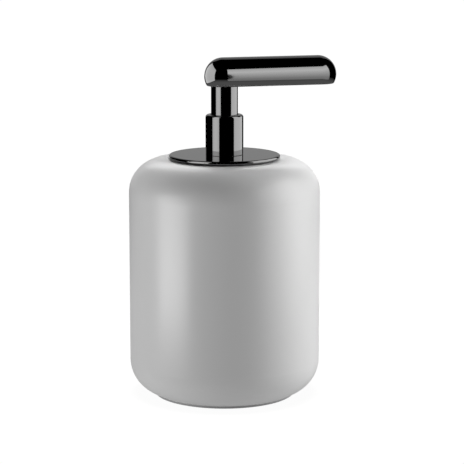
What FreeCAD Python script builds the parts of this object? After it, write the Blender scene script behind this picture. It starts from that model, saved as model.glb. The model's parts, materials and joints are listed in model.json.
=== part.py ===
import FreeCAD
import Part
import math
import os

# Soap pump dispenser: a glazed ceramic bottle with a lift-out metal pump.
# Millimetres. +Z is up, the origin is the centre of the face that it stands on,
# the pump's axis is the Z axis, and the spout points along +X.

# ---------------------------------------------------------------- clearances
RUN = 0.05            # radial clearance of a running or sliding fit
THREAD = 0.05         # radial clearance of a screwed joint, drawn as plain cylinders
STOP = 0.05           # gap left where two moving faces come to rest
LOOSE = 0.5           # radial clearance of a piece that only drops into a bore

# -------------------------------------------------------------------- bottle
body_diameter = 80.0
bottle_top = 99.9          # height of the bottle's flat top
shoulder_radius = 14.0
heel_radius = 14.0
side_wall = 4.5
top_wall = 5.5
floor_wall = 5.0
inner_floor_radius = 10.0
foot_inset = 9.9           # from the bottle's side in to the side of its foot ring
foot_ring_height = 0.15    # upright edge between the pad and the heel
foot_ring_width = 2.8
pad_edge_height = 1.1      # the part of the pad that shows below the foot ring
pad_inset = 0.4            # from the foot ring's side in to the pad's
pad_spigot_height = 1.0    # the part that sits in the foot's recess
pad_spigot_clearance = 0.2
pad_groove_pitch = 5.0
pad_groove_count = 4
neck_edge_radius = 0.6
liner_wall = 1.5
liner_length = 11.0

# --------------------------------------------------- cover plate and stopper
plate_thickness = 1.8
plate_rim_width = 1.8
plate_recess_depth = 0.8
plate_gasket_thickness = 0.85
plate_gasket_land = 2.9      # width of gasket that bears on the bottle, round the neck
stopper_length = 12.2
stopper_web = 3.0
stopper_skirt_wall = 3.7
o_ring_section = 2.2
o_ring_squeeze_room = 0.05  # the ring's outside stays this far off the liner
o_ring_pitch = 4.0

# ---------------------------------------------------- collar and guide tube
collar_height = 16.7
collar_wall = 0.85
collar_lip = 1.1
collar_edge_radius = 1.0
lip_clearance = 0.25        # round the sleeve, where it comes out of the collar
guide_wall = 0.95
guide_land_length = 7.6
wiper_room = 1.8
hex_across_flats = 20.0
hex_height = 3.0
spanner_room = 1.25         # round the hexagon's corners, inside the stopper
washer_thickness = 0.8
guide_tail = 6.1            # threaded end below the hexagon

# ------------------------------------------------------------ stem and spout
stroke = 10.5
press_gap = 1.45            # left between spout and collar at full stroke
sleeve_diameter = 11.2
sleeve_flange_step = 0.35
sleeve_flange_height = 1.5
sleeve_thread_wall = 1.4
stem_diameter = 5.2
stem_bore = 3.2
head_diameter = 15.6
head_flat_drop = 3.95       # depth of the flat underside below the bar's axis
head_reach = 40.55          # centre of the front end, from the pump's axis
head_overhang = 0.6         # centre of the rear end, behind the pump's axis
head_edge_radius = 0.5
head_roof = 2.75            # metal left above the pocket
pocket_end = 5.4            # from the head's front centre back to the pocket's
pocket_bridge = 0.5         # metal left between the sleeve and the pocket's mouth
insert_wall = 0.25          # beside the stem's seal
cover_thickness = 1.5
channel_bore = 2.4
channel_roof = 0.85
outlet_setback = 6.4        # from the head's front centre back to the outlet
outlet_bore = 3.0
nozzle_diameter = 5.0
nozzle_flange_step = 0.65
nozzle_flange_height = 0.75
nozzle_proud = 0.1
stem_seal_section = 1.0
stem_seal_land = 0.4        # of the insert, above the seal

# --------------------------------------------------------------- pump engine
cylinder_bore = 10.0
cylinder_wall = 1.3
cup_wall = 2.15
cup_rib_height = 0.6
cup_depth = 6.4
cup_floor = 2.0
cup_rib_count = 20
cylinder_gasket_thickness = 0.8
cap_flange_height = 1.0
cap_barrel_length = 3.0
piston_float = 0.8          # how far the piston slides on the stem to open its valve
piston_top_gap = 0.3
piston_height = 6.9
piston_waist = 0.6
piston_floor = 1.0
valve_head_clearance = 1.1  # between the valve head and the cylinder
valve_head_height = 2.0
valve_neck_diameter = 2.6
valve_pilot_height = 1.5
valve_rib_length = 9.0
valve_rib_width = 0.8
spring_wire = 0.8
spring_turns = 6.5
spring_spare = 2.1          # length left in the spring at full stroke, beyond solid
spring_side_room = 0.55     # between the spring and the cage's rim
cage_floor = 1.5
cage_rim_height = 2.5
cage_rim_wall = 0.7
cage_hole_diameter = 1.6
cage_post_radius = 0.9
cage_post_drop = 0.6
ball_diameter = 4.0
ball_side_room = 0.6
ball_lift = 1.2
inlet_bore = 2.4
inlet_length = 1.2
tail_wall = 1.5
dip_tube_diameter = 6.0
dip_tube_bore = 4.2
dip_socket_length = 8.3
dip_tube_floor_gap = 2.0
vent_diameter = 1.0

# ------------------------------------------------------ radii that follow from them
body_radius = body_diameter / 2
foot_radius = body_radius - foot_inset
recess_radius = foot_radius - foot_ring_width
sleeve_radius = sleeve_diameter / 2
sleeve_flange_radius = sleeve_radius + sleeve_flange_step
stem_radius = stem_diameter / 2
sleeve_thread_radius = stem_radius + sleeve_thread_wall
guide_bore = sleeve_flange_radius + 2 * RUN
guide_radius = guide_bore + guide_wall
collar_bore = guide_radius + THREAD
collar_radius = collar_bore + collar_wall
hex_corner = hex_across_flats / 2 / math.cos(math.pi / 6)
stopper_inside = hex_corner + spanner_room
stopper_radius = stopper_inside + stopper_skirt_wall
liner_radius = stopper_radius + LOOSE
neck_radius = liner_radius + liner_wall
gasket_radius = neck_radius + plate_gasket_land
plate_recess_radius = gasket_radius + 0.1
plate_radius = plate_recess_radius + plate_rim_width
head_radius = head_diameter / 2
pocket_half_width = stem_radius + stem_seal_section + 2 * RUN + insert_wall + STOP
cylinder_radius = cylinder_bore / 2
cylinder_outside = cylinder_radius + cylinder_wall
cylinder_fit = cylinder_radius - RUN          # outside of what sits or slides in the cylinder
cup_bore = guide_radius + THREAD
cup_outside = cup_bore + cup_wall
cage_rim_inside = cylinder_fit - cage_rim_wall
spring_radius = cage_rim_inside - spring_side_room - spring_wire / 2
valve_head_radius = cylinder_radius - valve_head_clearance
ball_radius = ball_diameter / 2
chamber_radius = ball_radius + ball_side_room
inlet_radius = inlet_bore / 2
tail_radius = dip_tube_diameter / 2 + tail_wall

# ------------------------------------------------- heights that follow from them
foot_step = pad_edge_height + foot_ring_height
recess_ceiling_height = pad_edge_height + pad_spigot_height
inner_floor = recess_ceiling_height + floor_wall
plate_bottom = bottle_top + STOP + plate_gasket_thickness - plate_recess_depth
plate_top = plate_bottom + plate_thickness
recess_ceiling = plate_bottom + plate_recess_depth
collar_top = plate_top + collar_height
guide_top = collar_top - collar_lip - wiper_room
land_bottom = guide_top - guide_land_length
hex_top = recess_ceiling - stopper_web - washer_thickness
hex_bottom = hex_top - hex_height
guide_bottom = hex_bottom - guide_tail
cup_seat = guide_bottom - cylinder_gasket_thickness - cap_flange_height
cap_bottom = cup_seat - cap_barrel_length
piston_top = cap_bottom - piston_float - piston_top_gap
piston_bottom = piston_top - piston_height
piston_seat = piston_bottom + 0.6
valve_head_top = piston_seat - 0.02
valve_head_bottom = valve_head_top - valve_head_height
stem_bottom = piston_seat + piston_floor + piston_float + 0.1
spring_length = stroke + (spring_turns + 1) * spring_wire + spring_spare
spring_bottom = valve_head_bottom - spring_length
cylinder_floor = spring_bottom - cage_floor
ball_stop = cylinder_floor - cage_post_drop
ball_centre = ball_stop - STOP - ball_lift - ball_radius
inlet_top = ball_centre - STOP - ball_radius * math.sqrt(2) + inlet_radius
chamber_bottom = inlet_top + chamber_radius - inlet_radius
dip_socket_top = inlet_top - inlet_length
dip_socket_bottom = dip_socket_top - dip_socket_length

head_bottom = collar_top + stroke + press_gap
head_axis = head_bottom + head_flat_drop
pocket_ceiling = head_axis + head_radius - head_roof
channel_axis = pocket_ceiling - STOP - channel_roof - channel_bore / 2
channel_bottom = channel_axis - channel_bore / 2
seal_room_top = channel_bottom - stem_seal_land
socket_floor = seal_room_top - stem_seal_section - 2 * RUN
sleeve_thread_top = socket_floor - 0.2
sleeve_flange_top = land_bottom - STOP
sleeve_bottom = sleeve_flange_top - sleeve_flange_height
stem_top = channel_bottom + 0.6

# ------------------------------------------------ places along the head, from the axis
pocket_rear = sleeve_radius + pocket_bridge + pocket_half_width
pocket_front = head_reach - pocket_end
outlet_x = head_reach - outlet_setback


# ------------------------------------------------------------------- helpers
def vec(x, y, z):
    return FreeCAD.Vector(x, y, z)


def rounded_wire(corners):
    """A closed wire in the XZ plane through (r, z) corners; a third number rounds that corner."""
    count = len(corners)
    entries, exits, middles = [], [], []
    for i, corner in enumerate(corners):
        here = vec(corner[0], 0, corner[1])
        radius = corner[2] if len(corner) > 2 else 0.0
        if radius <= 0:
            entries.append(here)
            exits.append(here)
            middles.append(None)
            continue
        before = corners[i - 1]
        after = corners[(i + 1) % count]
        to_before = (vec(before[0], 0, before[1]) - here).normalize()
        to_after = (vec(after[0], 0, after[1]) - here).normalize()
        half = to_before.getAngle(to_after) / 2
        reach = radius / math.tan(half)
        entries.append(here + to_before * reach)
        exits.append(here + to_after * reach)
        bisector = (to_before + to_after).normalize()
        middles.append(here + bisector * (radius / math.sin(half) - radius))
    edges = []
    for i in range(count):
        if middles[i] is not None:
            edges.append(Part.Arc(entries[i], middles[i], exits[i]).toShape())
        start, end = exits[i], entries[(i + 1) % count]
        if (end - start).Length > 1e-6:
            edges.append(Part.makeLine(start, end))
    return Part.Wire(edges)


def turned(corners):
    """A solid turned about Z from a closed outline of (r, z) corners."""
    face = Part.Face(rounded_wire(corners))
    return face.revolve(vec(0, 0, 0), vec(0, 0, 1), 360)


def tube(outer, inner, low, high):
    return turned([(inner, low), (outer, low), (outer, high), (inner, high)])


def rod(radius, low, high, x=0.0, y=0.0):
    return Part.makeCylinder(radius, high - low, vec(x, y, low))


def ring_of(section, centre_radius, height):
    """A round ring, such as an O-ring, with its middle at the given height."""
    return Part.makeTorus(centre_radius, section / 2, vec(0, 0, height))


def slot_block(half_width, rear, front, low, high):
    """A block with round ends, lying along X between two end centres."""
    box = Part.makeBox(front - rear, 2 * half_width, high - low, vec(rear, -half_width, low))
    block = box.fuse([rod(half_width, low, high, rear), rod(half_width, low, high, front)])
    return block.removeSplitter()


def round_edges_at(shape, height, radius):
    """Rounds the outline that lies flat at one height."""
    edges = [e for e in shape.Edges if all(abs(v.Z - height) < 1e-4 for v in e.Vertexes)
             and abs(e.CenterOfMass.z - height) < 1e-4]
    return shape.makeFillet(radius, edges)


def hexagon(across_flats, low, high):
    corner = across_flats / 2 / math.cos(math.pi / 6)
    points = [vec(corner * math.cos(math.radians(60 * k)), corner * math.sin(math.radians(60 * k)), low)
              for k in range(7)]
    return Part.Face(Part.makePolygon(points)).extrude(vec(0, 0, high - low))


# -------------------------------------------------------------------- bottle
def make_bottle():
    """Slip-cast body: round shoulder and heel, small foot ring, open neck."""
    heel_centre = foot_step + math.sqrt(heel_radius ** 2 - (heel_radius - foot_inset) ** 2)
    heel_r = body_radius - heel_radius
    start = math.atan2(foot_step - heel_centre, foot_radius - heel_r)
    middle = start / 2
    heel_middle = vec(heel_r + heel_radius * math.cos(middle), 0,
                      heel_centre + heel_radius * math.sin(middle))
    foot_top = vec(foot_radius, 0, foot_step)
    heel_top = vec(body_radius, 0, heel_centre)
    inner_radius = body_radius - side_wall
    rest = rounded_wire([
        (body_radius, heel_centre),
        (body_radius, bottle_top, shoulder_radius),
        (neck_radius, bottle_top),
        (neck_radius, bottle_top - top_wall, neck_edge_radius),
        (inner_radius, bottle_top - top_wall, shoulder_radius - side_wall),
        (inner_radius, inner_floor, inner_floor_radius),
        (0, inner_floor),
        (0, recess_ceiling_height),
        (recess_radius, recess_ceiling_height),
        (recess_radius, pad_edge_height),
        (foot_radius, pad_edge_height),
        (foot_radius, foot_step),
    ])
    # the heel is an arc between the foot ring and the side, in place of the closing line
    edges = [e for e in rest.Edges
             if not (abs(e.CenterOfMass.x - (body_radius + foot_radius) / 2) < 1e-6
                     and abs(e.CenterOfMass.z - (heel_centre + foot_step) / 2) < 1e-6)]
    edges.append(Part.Arc(foot_top, heel_middle, heel_top).toShape())
    outline = Part.Wire(Part.__sortEdges__(edges))
    return Part.Face(outline).revolve(vec(0, 0, 0), vec(0, 0, 1), 360)


def make_foot_pad():
    """Grey anti-slip disc under the foot ring, with rings moulded in its underside."""
    spigot = recess_radius - pad_spigot_clearance
    pad = turned([(0, 0), (foot_radius - pad_inset, 0, 0.3),
                  (foot_radius - pad_inset, pad_edge_height, 0.15), (spigot, pad_edge_height),
                  (spigot, recess_ceiling_height), (0, recess_ceiling_height)])
    for k in range(pad_groove_count):
        middle = spigot - pad_groove_pitch * (k + 0.8)
        pad = pad.cut(tube(middle + 0.6, middle - 0.6, -1, 0.5))
    return pad


def make_neck_liner():
    """Plastic ring glued in the neck: the true bore that the stopper seals in."""
    low = bottle_top - liner_length
    return turned([(liner_radius, low), (neck_radius, low), (neck_radius, bottle_top),
                   (liner_radius + 0.7, bottle_top), (liner_radius, bottle_top - 0.7)])


# --------------------------------------------------- cover plate and stopper
def make_cover_plate():
    rounding = plate_thickness * 0.47
    return turned([
        (collar_bore, recess_ceiling), (plate_recess_radius, recess_ceiling),
        (plate_recess_radius, plate_bottom), (plate_radius, plate_bottom, rounding),
        (plate_radius, plate_top, rounding), (collar_bore, plate_top),
    ])


def make_plate_gasket():
    return tube(gasket_radius, liner_radius + 0.2, bottle_top + STOP, recess_ceiling)


def o_ring_heights():
    low = recess_ceiling - stopper_length + 2.8
    return [low, low + o_ring_pitch]


def make_stopper():
    """Moulded cup that fills the neck, with two grooves for its O-rings."""
    low = recess_ceiling - stopper_length
    web = recess_ceiling - stopper_web
    core = turned([
        (collar_bore, web), (stopper_inside, web, 0.8), (stopper_inside, low),
        (stopper_radius, low, 0.6), (stopper_radius, recess_ceiling), (collar_bore, recess_ceiling),
    ])
    floor = liner_radius - o_ring_squeeze_room - o_ring_section - 0.05
    for height in o_ring_heights():
        half = o_ring_section / 2 + 0.1
        core = core.cut(tube(stopper_radius + 1, floor, height - half, height + half))
    return core


def make_neck_o_ring(index):
    centre = liner_radius - o_ring_squeeze_room - o_ring_section / 2
    return ring_of(o_ring_section, centre, o_ring_heights()[index])


def make_clamp_washer():
    outer = hex_corner - 0.15
    top = hex_top + washer_thickness
    inner = guide_radius + 0.15
    return turned([(inner, hex_top), (outer, hex_top, 0.2), (outer, top, 0.2), (inner, top)])


# ---------------------------------------------------- collar and guide tube
def make_guide_tube():
    """Hexagon-headed tube: clamps stopper and plate to the collar, and guides the sleeve."""
    body = turned([
        (guide_bore, guide_bottom, 0.3), (guide_radius, guide_bottom, 0.4),
        (guide_radius, guide_top, 0.4), (sleeve_radius + RUN, guide_top, 0.2),
        (sleeve_radius + RUN, land_bottom), (guide_bore, land_bottom),
    ])
    nut = hexagon(hex_across_flats, hex_bottom, hex_top)
    chamfer = turned([(0, hex_bottom - 1), (hex_across_flats / 2 - 0.6, hex_bottom - 1),
                      (hex_across_flats / 2 + 2.4, hex_bottom + 2), (hex_across_flats, hex_top + 2),
                      (0, hex_top + 2)])
    nut = nut.common(chamfer).cut(rod(guide_bore, hex_bottom - 1, hex_top + 1))
    return body.fuse(nut).removeSplitter()


def make_collar():
    lip_bore = sleeve_radius + lip_clearance
    lip_low = collar_top - collar_lip
    return turned([
        (collar_bore, plate_top), (collar_radius, plate_top, 0.15),
        (collar_radius, collar_top, collar_edge_radius), (lip_bore, collar_top, 0.35),
        (lip_bore, lip_low), (collar_bore, lip_low),
    ])


def make_stem_wiper():
    inner = sleeve_radius + 0.02
    section = guide_radius - inner
    return ring_of(section, inner + section / 2, guide_top + wiper_room / 2)


# ------------------------------------------------------------- pump cylinder
def make_pump_cylinder():
    """Cup that screws on the guide tube, barrel, ball seat and socket for the dip tube."""
    cup_top = cup_seat + cup_depth
    cup_low = cup_seat - cup_floor
    body = turned([
        (cylinder_radius, cup_seat), (cup_bore, cup_seat), (cup_bore, cup_top, 0.4),
        (cup_outside, cup_top, 0.4), (cup_outside, cup_low, 0.8), (cylinder_outside, cup_low, 0.6),
        (cylinder_outside, cylinder_floor - 1.5), (tail_radius, chamber_bottom),
        (tail_radius, dip_socket_bottom, 0.3), (dip_tube_diameter / 2, dip_socket_bottom, 0.5),
        (dip_tube_diameter / 2, dip_socket_top), (inlet_radius, dip_socket_top),
        (inlet_radius, inlet_top), (chamber_radius, chamber_bottom),
        (chamber_radius, cylinder_floor), (cylinder_radius, cylinder_floor),
    ])
    ribs = []
    for k in range(cup_rib_count):
        rib = Part.makeBox(0.4 + cup_rib_height, 1.0, cup_depth - 1.2,
                           vec(cup_outside - 0.4, -0.5, cup_seat))
        rib.rotate(vec(0, 0, 0), vec(0, 0, 1), 360.0 * k / cup_rib_count)
        ribs.append(rib)
    body = body.fuse(ribs)
    vent = Part.makeCylinder(vent_diameter / 2, cylinder_outside * 2,
                             vec(0, 0, piston_bottom + piston_height / 2), vec(0, 1, 0))
    return body.cut(vent)


def make_cylinder_gasket():
    low = guide_bottom - cylinder_gasket_thickness
    return tube(guide_radius - 0.1, guide_bore - 1.5, low, guide_bottom)


def make_cylinder_cap():
    """Flanged bush in the cylinder's mouth: keeps the piston in and the stem central."""
    flange_top = cup_seat + cap_flange_height
    return turned([
        (stem_radius + RUN, cap_bottom), (cylinder_fit, cap_bottom, 0.2),
        (cylinder_fit, cup_seat), (guide_radius - 0.1, cup_seat),
        (guide_radius - 0.1, flange_top), (stem_radius + RUN, flange_top),
    ])


def make_ball_cage():
    """Cup that carries the spring and stops the ball, with three holes for the soap."""
    rim_top = spring_bottom + cage_rim_height
    cage = turned([
        (0, ball_stop), (cage_post_radius, ball_stop, 0.2), (cage_post_radius, cylinder_floor),
        (cylinder_fit, cylinder_floor), (cylinder_fit, rim_top), (cage_rim_inside, rim_top),
        (cage_rim_inside, spring_bottom), (0, spring_bottom),
    ])
    reach = cage_post_radius + cage_hole_diameter / 2 + 0.15
    for k in range(3):
        angle = math.radians(120 * k)
        cage = cage.cut(rod(cage_hole_diameter / 2, ball_stop - 1, spring_bottom + 1,
                            reach * math.cos(angle), reach * math.sin(angle)))
    return cage


def make_inlet_ball():
    return Part.makeSphere(ball_radius, vec(0, 0, ball_centre))


def make_dip_tube():
    """Straw down to the bottle's floor, its foot cut at a slant."""
    low = inner_floor + dip_tube_floor_gap
    straw = tube(dip_tube_diameter / 2, dip_tube_bore / 2, low, dip_socket_top)
    wedge = Part.makeBox(20, 20, 20, vec(-20, -10, -20))
    wedge.rotate(vec(0, 0, 0), vec(0, 1, 0), 40)
    wedge.translate(vec(dip_tube_diameter / 2, 0, low))
    return straw.cut(wedge)


def make_return_spring():
    """Steel wire coil, its end turns ground flat."""
    pitch = spring_length / (spring_turns - 1)
    height = spring_length + pitch
    helix = Part.makeHelix(pitch, height, spring_radius)
    profile = Part.Wire(Part.makeCircle(spring_wire / 2, vec(spring_radius, 0, 0), vec(0, 1, 0)))
    coil = Part.Wire(helix.Edges).makePipeShell([profile], True, True)
    coil.translate(vec(0, 0, spring_bottom - pitch / 2))
    slab = Part.makeBox(20, 20, spring_length - 0.04, vec(-10, -10, spring_bottom + 0.02))
    return coil.common(slab)


# ------------------------------------------------------------ moving plunger
def make_valve_rod():
    """Round valve head under the piston, held in the stem by four ribs that let soap past."""
    neck = valve_neck_diameter / 2
    rib_low = stem_bottom + 0.4
    rib_top = rib_low + valve_rib_length
    pilot = spring_radius - spring_wire / 2 - 0.3
    body = turned([
        (0, valve_head_bottom - valve_pilot_height), (pilot, valve_head_bottom - valve_pilot_height, 0.4),
        (pilot, valve_head_bottom), (valve_head_radius, valve_head_bottom, 0.3),
        (valve_head_radius, valve_head_top, 0.3), (neck, valve_head_top),
        (neck, rib_low), (0, rib_low),
    ])
    reach = stem_bore / 2 - 0.02
    cross = Part.makeBox(2 * reach, valve_rib_width, valve_rib_length,
                         vec(-reach, -valve_rib_width / 2, rib_low))
    other = Part.makeBox(valve_rib_width, 2 * reach, valve_rib_length,
                         vec(-valve_rib_width / 2, -reach, rib_low))
    ribs = cross.fuse(other).common(rod(reach, rib_low, rib_top))
    return body.fuse(ribs).removeSplitter()


def make_piston_seal():
    """Soft piston with a lip at each end; it slides a little on the stem to open its valve."""
    lip = cylinder_fit
    waist = lip - piston_waist
    inner = stem_radius + RUN
    hub = inner + (waist - inner) * 0.38
    groove = inner + (waist - inner) * 0.62
    opening = valve_neck_diameter / 2 + 0.7
    return turned([
        (opening, piston_seat), (hub, piston_seat), (groove, piston_bottom + 1.6),
        (lip - 0.2, piston_bottom), (lip, piston_bottom), (lip, piston_bottom + 0.8),
        (waist, piston_bottom + 2.0), (waist, piston_top - 2.0), (lip, piston_top - 0.8),
        (lip, piston_top), (lip - 0.2, piston_top), (groove, piston_top - 1.6),
        (hub, piston_top - 0.3), (inner, piston_top - 0.3), (inner, piston_seat + piston_floor),
        (opening, piston_seat + piston_floor),
    ])


def make_inner_stem():
    return tube(stem_radius, stem_bore / 2, stem_bottom, stem_top)


def make_stem_sleeve():
    """Polished tube between collar and spout, with a stop flange and a threaded top."""
    return turned([
        (stem_radius, sleeve_bottom), (sleeve_flange_radius, sleeve_bottom, 0.3),
        (sleeve_flange_radius, sleeve_flange_top), (sleeve_radius, sleeve_flange_top),
        (sleeve_radius, head_bottom), (sleeve_thread_radius, head_bottom),
        (sleeve_thread_radius, sleeve_thread_top, 0.3), (stem_radius, sleeve_thread_top),
    ])


# --------------------------------------------------------------------- spout
def make_spout_head():
    """Round bar with round ends and a flat underside, hollowed from below for the soap channel."""
    bar = Part.makeCylinder(head_radius, head_reach + head_overhang,
                            vec(-head_overhang, 0, head_axis), vec(1, 0, 0))
    rear = Part.makeSphere(head_radius, vec(-head_overhang, 0, head_axis))
    front = Part.makeSphere(head_radius, vec(head_reach, 0, head_axis))
    bar = bar.fuse([rear, front]).removeSplitter()
    keep = Part.makeBox(200, 100, 100, vec(-100, -50, head_bottom))
    bar = round_edges_at(bar.common(keep), head_bottom, head_edge_radius)
    bore = rod(sleeve_thread_radius + THREAD, head_bottom - 1, socket_floor + 0.1)
    channel = slot_block(pocket_half_width, 0, pocket_front, socket_floor, pocket_ceiling)
    mouth = slot_block(pocket_half_width, pocket_rear, pocket_front, head_bottom - 1, socket_floor + 0.1)
    return bar.cut(bore).cut(channel).cut(mouth)


def make_flow_insert():
    """Plastic block in the spout's pocket that carries the soap from stem to nozzle."""
    half = pocket_half_width - STOP
    top = pocket_ceiling - STOP
    low = head_bottom + cover_thickness
    block = slot_block(half, 0, pocket_front, socket_floor, top)
    block = block.fuse(slot_block(half, pocket_rear, pocket_front, low, socket_floor + 0.1))
    block = block.removeSplitter()
    along = Part.makeCylinder(channel_bore / 2, outlet_x, vec(0, 0, channel_axis), vec(1, 0, 0))
    socket = rod(stem_radius + 0.02, socket_floor - 1, stem_top + 0.1)
    seal_room = rod(stem_radius + stem_seal_section + 2 * RUN, socket_floor - 1, seal_room_top)
    down = rod(outlet_bore / 2 + 0.1, low - 1, channel_axis, outlet_x)
    flange_room = rod(nozzle_diameter / 2 + nozzle_flange_step + STOP, low - 1,
                      low + nozzle_flange_height + STOP, outlet_x)
    return block.cut([along, socket, seal_room, down, flange_room])


def make_stem_seal():
    centre = stem_radius + 0.02 + stem_seal_section / 2
    return ring_of(stem_seal_section, centre, socket_floor + stem_seal_section / 2 + 0.03)


def make_spout_cover():
    """Flat strip that closes the pocket, flush with the spout's underside."""
    strip = slot_block(pocket_half_width - 0.03, pocket_rear, pocket_front,
                       head_bottom, head_bottom + cover_thickness)
    strip = round_edges_at(strip, head_bottom, 0.15)
    return strip.cut(rod(nozzle_diameter / 2 + 0.05, head_bottom - 1,
                         head_bottom + cover_thickness + 1, outlet_x))


def make_nozzle():
    low = head_bottom - nozzle_proud
    shelf = head_bottom + cover_thickness
    radius = nozzle_diameter / 2
    nozzle = turned([
        (outlet_bore / 2, low, 0.2), (radius, low, 0.2), (radius, shelf),
        (radius + nozzle_flange_step, shelf), (radius + nozzle_flange_step, shelf + nozzle_flange_height),
        (outlet_bore / 2, shelf + nozzle_flange_height),
    ])
    nozzle.translate(vec(outlet_x, 0, 0))
    return nozzle


# -------------------------------------------------------------------- export
PIECES = {
    "bottle": make_bottle,
    "foot_pad": make_foot_pad,
    "neck_liner": make_neck_liner,
    "cover_plate": make_cover_plate,
    "plate_gasket": make_plate_gasket,
    "stopper": make_stopper,
    "neck_o_ring_lower": lambda: make_neck_o_ring(0),
    "neck_o_ring_upper": lambda: make_neck_o_ring(1),
    "clamp_washer": make_clamp_washer,
    "guide_tube": make_guide_tube,
    "collar": make_collar,
    "stem_wiper": make_stem_wiper,
    "pump_cylinder": make_pump_cylinder,
    "cylinder_gasket": make_cylinder_gasket,
    "cylinder_cap": make_cylinder_cap,
    "ball_cage": make_ball_cage,
    "inlet_ball": make_inlet_ball,
    "dip_tube": make_dip_tube,
    "return_spring": make_return_spring,
    "valve_rod": make_valve_rod,
    "piston_seal": make_piston_seal,
    "inner_stem": make_inner_stem,
    "stem_sleeve": make_stem_sleeve,
    "spout_head": make_spout_head,
    "flow_insert": make_flow_insert,
    "stem_seal": make_stem_seal,
    "spout_cover": make_spout_cover,
    "nozzle": make_nozzle,
}

os.makedirs("parts", exist_ok=True)
for name, make in PIECES.items():
    shape = make()
    shape.exportStep("parts/" + name + ".step")
    print(name, "valid", shape.isValid(), "solids", len(shape.Solids), "volume", round(shape.Volume, 2))
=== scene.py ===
import json
import math

import bmesh
import bpy
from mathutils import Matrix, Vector


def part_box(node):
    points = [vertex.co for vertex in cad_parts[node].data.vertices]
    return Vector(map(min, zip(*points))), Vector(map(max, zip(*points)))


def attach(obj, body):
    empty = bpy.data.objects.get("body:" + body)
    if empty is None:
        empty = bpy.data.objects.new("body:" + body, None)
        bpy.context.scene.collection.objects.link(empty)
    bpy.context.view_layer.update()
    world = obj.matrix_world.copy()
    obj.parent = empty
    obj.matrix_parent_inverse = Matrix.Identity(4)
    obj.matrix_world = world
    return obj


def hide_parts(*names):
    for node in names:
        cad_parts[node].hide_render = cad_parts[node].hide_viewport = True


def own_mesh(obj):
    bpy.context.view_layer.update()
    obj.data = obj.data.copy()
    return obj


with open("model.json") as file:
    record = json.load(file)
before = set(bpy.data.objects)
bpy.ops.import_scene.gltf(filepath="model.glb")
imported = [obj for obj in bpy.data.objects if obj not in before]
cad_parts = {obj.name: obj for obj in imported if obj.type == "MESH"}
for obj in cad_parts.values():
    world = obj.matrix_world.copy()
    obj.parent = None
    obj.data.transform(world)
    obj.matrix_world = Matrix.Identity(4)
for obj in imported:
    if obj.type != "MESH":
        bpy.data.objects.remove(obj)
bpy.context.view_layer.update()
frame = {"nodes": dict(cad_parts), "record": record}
nodes = frame["nodes"]

MM = 0.001

# ------------------------------------------------------------------ the room
# The camera stands about 15 degrees round from square to the spout and looks down a little.
CAMERA_TURN = math.radians(15.06)
CAMERA_DIP = math.radians(10.26)
CAMERA_BACK = 800 * MM
CAMERA_SIDE = 3.15 * MM
CAMERA_HEIGHT = 213.5 * MM
CAMERA_LENS = 149.9            # focal length in millimetres, as the camera takes it
SENSOR_WIDTH = 36.0
NEAREST_SEEN = 0.01
FARTHEST_SEEN = 50.0
WATTS_PER_GLOW = 4.0           # makes a square metre of panel glow with a radiance of one

TOWARDS_CAMERA = Vector((-math.sin(CAMERA_TURN), -math.cos(CAMERA_TURN), 0))
CAMERA_RIGHT = Vector((math.cos(CAMERA_TURN), -math.sin(CAMERA_TURN), 0))


def heading(degrees):
    """Level direction from the pump's axis: 0 towards the camera, positive to its right."""
    turn = math.radians(degrees)
    return TOWARDS_CAMERA * math.cos(turn) + CAMERA_RIGHT * math.sin(turn)


def new_object(name, data):
    made = bpy.data.objects.new(name, data)
    bpy.context.scene.collection.objects.link(made)
    return made


def set_up_camera():
    data = bpy.data.cameras.new("camera")
    data.lens = CAMERA_LENS
    data.sensor_width = SENSOR_WIDTH
    data.clip_start = NEAREST_SEEN
    data.clip_end = FARTHEST_SEEN
    camera = new_object("camera", data)
    camera.location = (TOWARDS_CAMERA * CAMERA_BACK + CAMERA_RIGHT * CAMERA_SIDE
                       + Vector((0, 0, CAMERA_HEIGHT)))
    look = -TOWARDS_CAMERA * math.cos(CAMERA_DIP) - Vector((0, 0, math.sin(CAMERA_DIP)))
    camera.rotation_mode = "QUATERNION"
    camera.rotation_quaternion = look.to_track_quat("-Z", "Y")
    bpy.context.scene.camera = camera


FLOOR_HALF_WIDTH = 12.0
FLOOR_TONE = 1.02              # the open floor's brightness
SHADE_REACH = 0.008            # how far round the foot the floor's painted shade reaches, in metres
SHADE_START = 0.5              # share of open sky at which the painted shade is deepest
SHADE_DEPTH = 0.97             # the floor's brightness right at the foot, in the deepest painted shade
SHADE_SAMPLES = 16
FLOOR_BOUNCE = 0.44            # light that the floor throws back on matt surfaces
MIRRORED_FLOOR_GLOW = 0.35     # painted pool of light on the floor as polished metal sees it, close to the bottle
MIRRORED_FLOOR_START = 0.20
MIRRORED_FLOOR_END = 0.50


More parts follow.
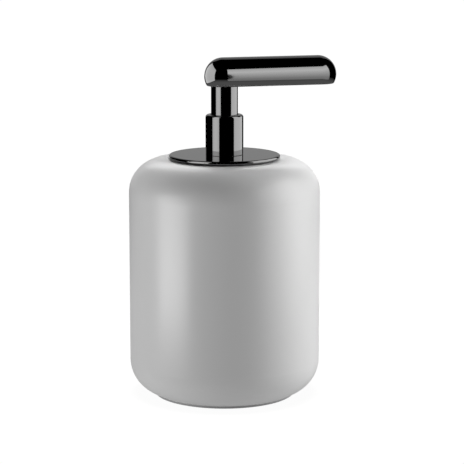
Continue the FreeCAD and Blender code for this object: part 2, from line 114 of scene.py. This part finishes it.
def panel_glow(data, centre, along, half, glow):
    """A panel's glow: low at its foot, full at its hot height, and fading to its top and sides."""
    data.use_nodes = True
    tree = data.node_tree
    tree.nodes.clear()
    place = tree.nodes.new("ShaderNodeNewGeometry")
    from_centre = tree.nodes.new("ShaderNodeVectorMath")
    from_centre.operation = "SUBTRACT"
    from_centre.inputs[1].default_value = centre
    aside = tree.nodes.new("ShaderNodeVectorMath")
    aside.operation = "DOT_PRODUCT"
    aside.inputs[1].default_value = along / half
    square = tree.nodes.new("ShaderNodeMath")
    square.operation = "MULTIPLY"
    dimming = tree.nodes.new("ShaderNodeMath")
    dimming.operation = "MULTIPLY_ADD"
    dimming.inputs[1].default_value = -glow["side_fade"]
    dimming.inputs[2].default_value = 1.0
    split = tree.nodes.new("ShaderNodeSeparateXYZ")
    rise = tree.nodes.new("ShaderNodeMapRange")
    rise.inputs["From Min"].default_value = glow["bottom"]
    rise.inputs["From Max"].default_value = glow["hot"]
    rise.inputs["To Min"].default_value = glow["low"]
    rise.inputs["To Max"].default_value = glow["full"]
    fall = tree.nodes.new("ShaderNodeMapRange")
    fall.inputs["From Min"].default_value = glow["hot"]
    fall.inputs["From Max"].default_value = glow["top"]
    fall.inputs["To Min"].default_value = 1.0
    fall.inputs["To Max"].default_value = glow["top_share"]
    upright = tree.nodes.new("ShaderNodeMath")
    upright.operation = "MULTIPLY"
    strength = tree.nodes.new("ShaderNodeMath")
    strength.operation = "MULTIPLY"
    emission = tree.nodes.new("ShaderNodeEmission")
    out = tree.nodes.new("ShaderNodeOutputLight")
    link = tree.links.new
    link(place.outputs["Position"], from_centre.inputs[0])
    link(from_centre.outputs["Vector"], aside.inputs[0])
    link(aside.outputs["Value"], square.inputs[0])
    link(aside.outputs["Value"], square.inputs[1])
    link(square.outputs[0], dimming.inputs[0])
    link(place.outputs["Position"], split.inputs["Vector"])
    link(split.outputs["Z"], rise.inputs["Value"])
    link(split.outputs["Z"], fall.inputs["Value"])
    link(rise.outputs["Result"], upright.inputs[0])
    link(fall.outputs["Result"], upright.inputs[1])
    link(dimming.outputs[0], strength.inputs[0])
    link(upright.outputs[0], strength.inputs[1])
    link(strength.outputs[0], emission.inputs["Strength"])
    link(emission.outputs["Emission"], out.inputs["Surface"])


def soft_panel(name, first, last, distance, lights=None, seen_by="all", **shape):
    """Flat diffuser between two headings that lights one collection, or all if none is given.

    Its glow has a foot (bottom, low), a hot height (hot, full) and a top (top, top_share);
    seen_by "matt" or "gloss" keeps it to the matt or the mirrored part of a finish.
    """
    glow = {"bottom": 0.0, "low": shape["full"], "hot": shape["top"], "top_share": 1.0,
            "side_fade": 0.0}
    glow.update(shape)
    middle = heading((first + last) / 2)
    along = Vector((0, 0, 1)).cross(middle)
    half = distance * math.tan(math.radians(last - first) / 2)
    centre = middle * distance + Vector((0, 0, (glow["bottom"] + glow["top"]) / 2))
    data = bpy.data.lights.new(name, "AREA")
    data.shape = "RECTANGLE"
    data.size = 2 * half
    data.size_y = glow["top"] - glow["bottom"]
    data.energy = WATTS_PER_GLOW * data.size * data.size_y
    panel_glow(data, centre, along, half, glow)
    panel = new_object(name, data)
    panel.location = centre
    panel.rotation_mode = "QUATERNION"
    panel.rotation_quaternion = (-middle).to_track_quat("-Z", "Y")
    panel.visible_camera = False
    panel.visible_diffuse = seen_by != "gloss"
    panel.visible_glossy = seen_by != "matt"
    if lights is not None:
        panel.light_linking.receiver_collection = lights


def floor_material():
    """Pale board, with a soft painted shade where the bottle stands.

    Matt surfaces get its bounce, and mirrored ones see a painted pool of light that dies out
    further away.
    """
    material = bpy.data.materials.new("floor")
    material.cycles.emission_sampling = "NONE"
    material.use_nodes = True
    tree = material.node_tree
    tree.nodes.clear()
    seen = tree.nodes.new("ShaderNodeLightPath")
    # painted shade round the foot: ambient occlusion dims the glow that the camera sees on the
    # floor
    near = tree.nodes.new("ShaderNodeAmbientOcclusion")
    near.inputs["Distance"].default_value = SHADE_REACH
    near.samples = SHADE_SAMPLES
    tone = tree.nodes.new("ShaderNodeMapRange")
    tone.inputs["From Min"].default_value = SHADE_START
    tone.inputs["To Min"].default_value = SHADE_DEPTH
    tone.inputs["To Max"].default_value = FLOOR_TONE
    pale = tree.nodes.new("ShaderNodeEmission")
    bounce = tree.nodes.new("ShaderNodeEmission")
    bounce.inputs["Strength"].default_value = FLOOR_BOUNCE
    # painted pool of light: the floor glows for mirrored surfaces near the bottle and fades out
    # further away
    place = tree.nodes.new("ShaderNodeTexCoord")
    reach = tree.nodes.new("ShaderNodeVectorMath")
    reach.operation = "LENGTH"
    fall = tree.nodes.new("ShaderNodeMapRange")
    fall.inputs["From Min"].default_value = MIRRORED_FLOOR_START
    fall.inputs["From Max"].default_value = MIRRORED_FLOOR_END
    fall.inputs["To Min"].default_value = MIRRORED_FLOOR_GLOW
    fall.inputs["To Max"].default_value = 0.0
    mirrored = tree.nodes.new("ShaderNodeEmission")
    not_camera = tree.nodes.new("ShaderNodeMixShader")
    mix = tree.nodes.new("ShaderNodeMixShader")
    out = tree.nodes.new("ShaderNodeOutputMaterial")
    link = tree.links.new
    link(near.outputs["AO"], tone.inputs["Value"])
    link(tone.outputs["Result"], pale.inputs["Strength"])
    link(place.outputs["Object"], reach.inputs[0])
    link(reach.outputs["Value"], fall.inputs["Value"])
    link(fall.outputs["Result"], mirrored.inputs["Strength"])
    link(seen.outputs["Is Diffuse Ray"], not_camera.inputs["Fac"])
    link(mirrored.outputs["Emission"], not_camera.inputs[1])
    link(bounce.outputs["Emission"], not_camera.inputs[2])
    link(seen.outputs["Is Camera Ray"], mix.inputs["Fac"])
    link(not_camera.outputs["Shader"], mix.inputs[1])
    link(pale.outputs["Emission"], mix.inputs[2])
    link(mix.outputs["Shader"], out.inputs["Surface"])
    return material


def set_up_floor():
    mesh = bpy.data.meshes.new("floor")
    far = FLOOR_HALF_WIDTH
    mesh.from_pydata([(-far, -far, 0), (far, -far, 0), (far, far, 0), (-far, far, 0)], [],
                     [(0, 1, 2, 3)])
    mesh.materials.append(floor_material())
    floor = new_object("floor", mesh)


def set_up_world():
    world = bpy.data.worlds.new("studio")
    bpy.context.scene.world = world
    world.use_nodes = True
    tree = world.node_tree
    tree.nodes.clear()
    seen = tree.nodes.new("ShaderNodeLightPath")
    pale = tree.nodes.new("ShaderNodeBackground")
    dark = tree.nodes.new("ShaderNodeBackground")
    pale.inputs["Color"].default_value = (1, 1, 1, 1)
    dark.inputs["Color"].default_value = (0.0, 0.0, 0.0, 1)
    mix = tree.nodes.new("ShaderNodeMixShader")
    out = tree.nodes.new("ShaderNodeOutputWorld")
    tree.links.new(seen.outputs["Is Camera Ray"], mix.inputs["Fac"])
    tree.links.new(dark.outputs["Background"], mix.inputs[1])
    tree.links.new(pale.outputs["Background"], mix.inputs[2])
    tree.links.new(mix.outputs["Shader"], out.inputs["Surface"])


def collection_of(name, members):
    group = bpy.data.collections.new(name)
    for member in members:
        group.objects.link(nodes[member])
    return group


BOTTLE_PIECES = ("bottle", "foot_pad", "neck_liner")


def set_up_lights():
    """Panels of plain soft light: sets for the spout, stem and bottle, and one for them all.

    Headings are in degrees, distances and heights in metres, and glows are radiances.
    """
    apart = ("spout_head", *BOTTLE_PIECES)
    spout = collection_of("lit_with_the_spout", ["spout_head"])
    bottle = collection_of("lit_with_the_bottle", BOTTLE_PIECES)
    rest = collection_of("lit_with_the_stem", [name for name in nodes if name not in apart])
    near = 0.275
    soft_panel("stem_left_panel", -76, -32, near, rest, top=0.486, full=1.75, side_fade=0.2)
    soft_panel("stem_right_panel", 60, 134, near, rest, top=0.486, full=1.75, side_fade=0.1)
    soft_panel("spout_left_panel", -140, -52, near, spout, low=1.6, full=1.75, hot=0.27,
               top=0.41, top_share=0.85)
    soft_panel("spout_right_panel", 30, 80, near, spout, low=0.38, full=1.87, hot=0.27,
               top=0.41, top_share=0.75)
    far = 0.5
    soft_panel("bottle_left_fill", -84, -50, far, bottle, "matt", top=0.26, full=3.3)
    soft_panel("bottle_left_gloss", -77, -39, 0.18, bottle, "gloss", top=0.14, full=4.1,
               hot=0.005, top_share=0.1, side_fade=0.2)
    soft_panel("bottle_right_fill", 60, 115, far, bottle, "matt", top=0.26, full=2.75)
    soft_panel("bottle_right_upper_fill", 88, 120, far, bottle, "matt", bottom=0.26, top=0.6,
               full=5.4)
    soft_panel("bottle_right_gloss", 42, 107, 0.22, bottle, "gloss", top=0.29, low=0.95,
               hot=0.17, full=1.35, side_fade=0.2)
    soft_panel("bottle_back_upper_gloss", 155, 205, far, bottle, "gloss", bottom=0.26, top=0.7,
               full=1.3)
    soft_panel("bottle_back_upper_fill", 145, 215, far, bottle, "matt", bottom=0.45, top=1.1,
               full=4.6)
    soft_panel("back_panel", 150, 210, 1.5, top=2.0, full=0.29, hot=1.4, top_share=0.7)


# ------------------------------------------------------------------ finishes
def start_material(name):
    material = bpy.data.materials.new(name)
    material.use_nodes = True
    tree = material.node_tree
    shader = tree.nodes["Principled BSDF"]
    return material, tree, shader


def group_node(tree, group, values):
    node = tree.nodes.new("ShaderNodeGroup")
    node.node_tree = group
    for name, value in values.items():
        node.inputs[name].default_value = value
    return node


def grain_group():
    """Fine unevenness: a colour and a roughness that vary a little, and a height for a bump."""
    group = bpy.data.node_groups.new("fine_grain", "ShaderNodeTree")
    face = group.interface
    for name, kind, value in (("Base", "NodeSocketColor", (0.8, 0.8, 0.8, 1)),
                              ("Tint", "NodeSocketColor", (0.7, 0.7, 0.7, 1)),
                              ("Tint Size", "NodeSocketFloat", 60.0),
                              ("Tint Amount", "NodeSocketFloat", 0.2),
                              ("Roughness", "NodeSocketFloat", 0.4),
                              ("Roughness Spread", "NodeSocketFloat", 0.05),
                              ("Grain Size", "NodeSocketFloat", 900.0)):
        socket = face.new_socket(name, in_out="INPUT", socket_type=kind)
        socket.default_value = value
    for name, kind in (("Colour", "NodeSocketColor"), ("Roughness", "NodeSocketFloat"),
                       ("Height", "NodeSocketFloat")):
        face.new_socket(name, in_out="OUTPUT", socket_type=kind)
    nodes_in = group.nodes.new("NodeGroupInput")
    nodes_out = group.nodes.new("NodeGroupOutput")
    place = group.nodes.new("ShaderNodeTexCoord")
    broad = group.nodes.new("ShaderNodeTexNoise")
    fine = group.nodes.new("ShaderNodeTexNoise")
    fine.inputs["Detail"].default_value = 3.0
    amount = group.nodes.new("ShaderNodeMath")
    amount.operation = "MULTIPLY"
    mix = group.nodes.new("ShaderNodeMix")
    mix.data_type = "RGBA"
    centred = group.nodes.new("ShaderNodeMath")
    centred.operation = "SUBTRACT"
    centred.inputs[1].default_value = 0.5
    rough = group.nodes.new("ShaderNodeMath")
    rough.operation = "MULTIPLY_ADD"
    link = group.links.new
    link(place.outputs["Object"], broad.inputs["Vector"])
    link(place.outputs["Object"], fine.inputs["Vector"])
    link(nodes_in.outputs["Tint Size"], broad.inputs["Scale"])
    link(nodes_in.outputs["Grain Size"], fine.inputs["Scale"])
    link(broad.outputs["Fac"], amount.inputs[0])
    link(nodes_in.outputs["Tint Amount"], amount.inputs[1])
    link(amount.outputs[0], mix.inputs["Factor"])
    link(nodes_in.outputs["Base"], mix.inputs[6])
    link(nodes_in.outputs["Tint"], mix.inputs[7])
    link(fine.outputs["Fac"], centred.inputs[0])
    link(centred.outputs[0], rough.inputs[0])
    link(nodes_in.outputs["Roughness Spread"], rough.inputs[1])
    link(nodes_in.outputs["Roughness"], rough.inputs[2])
    link(mix.outputs[2], nodes_out.inputs["Colour"])
    link(rough.outputs[0], nodes_out.inputs["Roughness"])
    link(fine.outputs["Fac"], nodes_out.inputs["Height"])
    return group


GRAIN = grain_group()
REFRACTION = 1.5               # of glaze and of the plastics


def grained(name, base, tint, tint_size, tint_amount, roughness, spread, grain_size, depth,
            metallic=0.0):
    """A finish made of the fine grain group, with its bump depth in metres."""
    material, tree, shader = start_material(name)
    grain = group_node(tree, GRAIN, {
        "Base": (*base, 1), "Tint": (*tint, 1), "Tint Size": tint_size,
        "Tint Amount": tint_amount, "Roughness": roughness, "Roughness Spread": spread,
        "Grain Size": grain_size})
    bump = tree.nodes.new("ShaderNodeBump")
    bump.inputs["Distance"].default_value = depth
    bump.inputs["Strength"].default_value = 1.0
    tree.links.new(grain.outputs["Colour"], shader.inputs["Base Color"])
    tree.links.new(grain.outputs["Roughness"], shader.inputs["Roughness"])
    tree.links.new(grain.outputs["Height"], bump.inputs["Height"])
    tree.links.new(bump.outputs["Normal"], shader.inputs["Normal"])
    shader.inputs["Metallic"].default_value = metallic
    shader.inputs["IOR"].default_value = REFRACTION
    return material


def make_finishes():
    """One finish for each material slot; sizes are in ripples per metre, depths in metres."""
    return {
        "glazed_white": grained("satin_white_glaze", (0.80, 0.80, 0.80), (0.76, 0.76, 0.76),
                                45, 0.4, 0.30, 0.05, 700, 4e-6),
        "black_chrome": grained("polished_dark_chrome", (0.18, 0.18, 0.18), (0.165, 0.165, 0.165),
                                120, 0.3, 0.045, 0.02, 900, 2e-8, metallic=1.0),
        "steel": grained("machined_steel", (0.60, 0.60, 0.59), (0.50, 0.50, 0.49),
                         300, 0.4, 0.28, 0.12, 1500, 3e-6, metallic=1.0),
        "steel_ball": grained("bearing_steel", (0.68, 0.68, 0.69), (0.60, 0.60, 0.60),
                              300, 0.2, 0.08, 0.04, 1500, 5e-7, metallic=1.0),
        "white_pom": grained("white_acetal", (0.80, 0.80, 0.78), (0.74, 0.74, 0.71),
                             150, 0.4, 0.38, 0.10, 2500, 4e-6),
        "natural_pp": grained("milky_polypropylene", (0.70, 0.71, 0.69), (0.62, 0.63, 0.60),
                              110, 0.5, 0.30, 0.10, 1800, 5e-6),
        "black_pom": grained("black_acetal", (0.018, 0.018, 0.019), (0.03, 0.03, 0.03),
                             200, 0.5, 0.34, 0.10, 2500, 4e-6),
        "grey_silicone": grained("grey_silicone", (0.34, 0.34, 0.345), (0.40, 0.40, 0.40),
                                 120, 0.5, 0.62, 0.10, 2200, 8e-6),
        "black_rubber": grained("black_rubber", (0.014, 0.014, 0.014), (0.026, 0.026, 0.026),
                                160, 0.5, 0.55, 0.12, 2200, 8e-6),
    }


def dress_cad_nodes(finishes):
    slots = {s["node"]: s["material_slot"] for s in frame["record"]["subparts"]}
    for name, item in nodes.items():
        finish = finishes[slots[name]]
        item.data.materials.clear()
        item.data.materials.append(finish)


# ------------------------------------------------------------- the return spring
# Its outer size and length come from the frame; the wire, turns and ends are set here.
SPRING_WIRE = 0.8 * MM
SPRING_TURNS = 6.5
CLOSED_TURNS = 1.0           # wound close at each end
CLOSED_PITCH = 0.98          # their rise in a turn, as a share of the wire's thickness
WIRE_SIDES = 12
STEPS_PER_TURN = 40


def math_node(tree, operation, first, second=None, third=None):
    """A Math node fed by sockets or plain numbers; gives back its output."""
    node = tree.nodes.new("ShaderNodeMath")
    node.operation = operation
    for place, value in enumerate((first, second, third)):
        if value is None:
            continue
        if isinstance(value, (int, float)):
            node.inputs[place].default_value = value
        else:
            tree.links.new(value, node.inputs[place])
    return node.outputs[0]


def spring_tree(finish):
    """Geometry tree of a coil whose pitch closes up over its end turns."""
    tree = bpy.data.node_groups.new("coil_spring", "GeometryNodeTree")
    face = tree.interface
    for name in ("Coil Radius", "Wire Radius", "Length", "Turns", "Closed Turns", "Base Height"):
        face.new_socket(name, in_out="INPUT", socket_type="NodeSocketFloat")
    face.new_socket("Geometry", in_out="OUTPUT", socket_type="NodeSocketGeometry")
    given = tree.nodes.new("NodeGroupInput").outputs
    out = tree.nodes.new("NodeGroupOutput")
    link = tree.links.new
    all_turns = given["Turns"]
    steps = math_node(tree, "MULTIPLY", all_turns, float(STEPS_PER_TURN))
    path = tree.nodes.new("GeometryNodeCurvePrimitiveLine")
    path.inputs["End"].default_value = (0, 0, 1)
    cut = tree.nodes.new("GeometryNodeResampleCurve")
    link(path.outputs["Curve"], cut.inputs["Curve"])
    link(steps, cut.inputs["Count"])
    along = tree.nodes.new("GeometryNodeSplineParameter").outputs["Factor"]
    turn = math_node(tree, "MULTIPLY", along, all_turns)
    angle = math_node(tree, "MULTIPLY", turn, 2 * math.pi)
    across_x = math_node(tree, "MULTIPLY", math_node(tree, "COSINE", angle), given["Coil Radius"])
    across_y = math_node(tree, "MULTIPLY", math_node(tree, "SINE", angle), given["Coil Radius"])
    # the end turns rise by about one wire each, and the others share what is left evenly
    wire = math_node(tree, "MULTIPLY", given["Wire Radius"], 2.0)
    closed = given["Closed Turns"]
    free_turns = math_node(tree, "SUBTRACT", all_turns, math_node(tree, "MULTIPLY", closed, 2.0))
    wound = math_node(tree, "SUBTRACT", given["Length"], wire)
    closed_pitch = math_node(tree, "MULTIPLY", wire, CLOSED_PITCH)
    closed_rise = math_node(tree, "MULTIPLY", closed, closed_pitch)
    free_rise = math_node(tree, "SUBTRACT", wound, math_node(tree, "MULTIPLY", closed_rise, 2.0))
    low_part = math_node(tree, "MINIMUM", turn, closed)
    middle = math_node(tree, "SUBTRACT", turn, closed)
    middle = math_node(tree, "MAXIMUM", middle, 0.0)
    middle = math_node(tree, "MINIMUM", middle, free_turns)
    high_part = math_node(tree, "SUBTRACT", turn, math_node(tree, "ADD", closed, free_turns))
    high_part = math_node(tree, "MAXIMUM", high_part, 0.0)
    per_closed = math_node(tree, "DIVIDE", closed_rise, closed)
    per_free = math_node(tree, "DIVIDE", free_rise, free_turns)
    rise = math_node(tree, "MULTIPLY", math_node(tree, "ADD", low_part, high_part), per_closed)
    rise = math_node(tree, "MULTIPLY_ADD", middle, per_free, rise)
    height = math_node(tree, "ADD", rise, math_node(tree, "ADD", given["Base Height"],
                                                    given["Wire Radius"]))
    place = tree.nodes.new("ShaderNodeCombineXYZ")
    link(across_x, place.inputs["X"])
    link(across_y, place.inputs["Y"])
    link(height, place.inputs["Z"])
    coil = tree.nodes.new("GeometryNodeSetPosition")
    link(cut.outputs["Curve"], coil.inputs["Geometry"])
    link(place.outputs["Vector"], coil.inputs["Position"])
    section = tree.nodes.new("GeometryNodeCurvePrimitiveCircle")
    section.inputs["Resolution"].default_value = WIRE_SIDES
    link(given["Wire Radius"], section.inputs["Radius"])
    skin = tree.nodes.new("GeometryNodeCurveToMesh")
    skin.inputs["Fill Caps"].default_value = True
    link(coil.outputs["Geometry"], skin.inputs["Curve"])
    link(section.outputs["Curve"], skin.inputs["Profile Curve"])
    smooth = tree.nodes.new("GeometryNodeSetShadeSmooth")
    link(skin.outputs["Mesh"], smooth.inputs["Geometry"])
    real = tree.nodes.new("GeometryNodeRealizeInstances")
    link(smooth.outputs["Geometry"], real.inputs["Geometry"])
    paint = tree.nodes.new("GeometryNodeSetMaterial")
    paint.inputs["Material"].default_value = finish
    link(real.outputs["Geometry"], paint.inputs["Geometry"])
    link(paint.outputs["Geometry"], out.inputs["Geometry"])
    return tree


def built_by(tree, name, values):
    """Runs a geometry tree with its named inputs and gives back a plain mesh object."""
    holder = new_object(name + "_maker", bpy.data.meshes.new(name + "_maker"))
    modifier = holder.modifiers.new("maker", "NODES")
    modifier.node_group = tree
    for item in tree.interface.items_tree:
        if item.item_type == "SOCKET" and item.in_out == "INPUT":
            modifier[item.identifier] = values[item.name]
    evaluated = holder.evaluated_get(bpy.context.evaluated_depsgraph_get())
    mesh = bpy.data.meshes.new_from_object(evaluated)
    mesh.name = name
    bpy.data.objects.remove(holder)
    return new_object(name, mesh)


def point_outwards(mesh):
    made = bmesh.new()
    made.from_mesh(mesh)
    bmesh.ops.recalc_face_normals(made, faces=made.faces)
    made.to_mesh(mesh)
    made.free()


def make_return_spring(finish):
    low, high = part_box("return_spring")
    outside = (high[0] - low[0]) / 2
    coil = built_by(spring_tree(finish), "return_spring_coil", {
        "Coil Radius": outside - SPRING_WIRE / 2, "Wire Radius": SPRING_WIRE / 2,
        "Length": high[2] - low[2], "Turns": SPRING_TURNS, "Closed Turns": CLOSED_TURNS,
        "Base Height": low[2]})
    point_outwards(coil.data)
    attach(coil, "pump_unit")
    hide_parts("return_spring")
    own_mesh(coil)


set_up_camera()
set_up_floor()
set_up_world()
set_up_lights()
finishes = make_finishes()
dress_cad_nodes(finishes)
make_return_spring(finishes["steel"])

bpy.context.scene.view_settings.view_transform = "Standard"
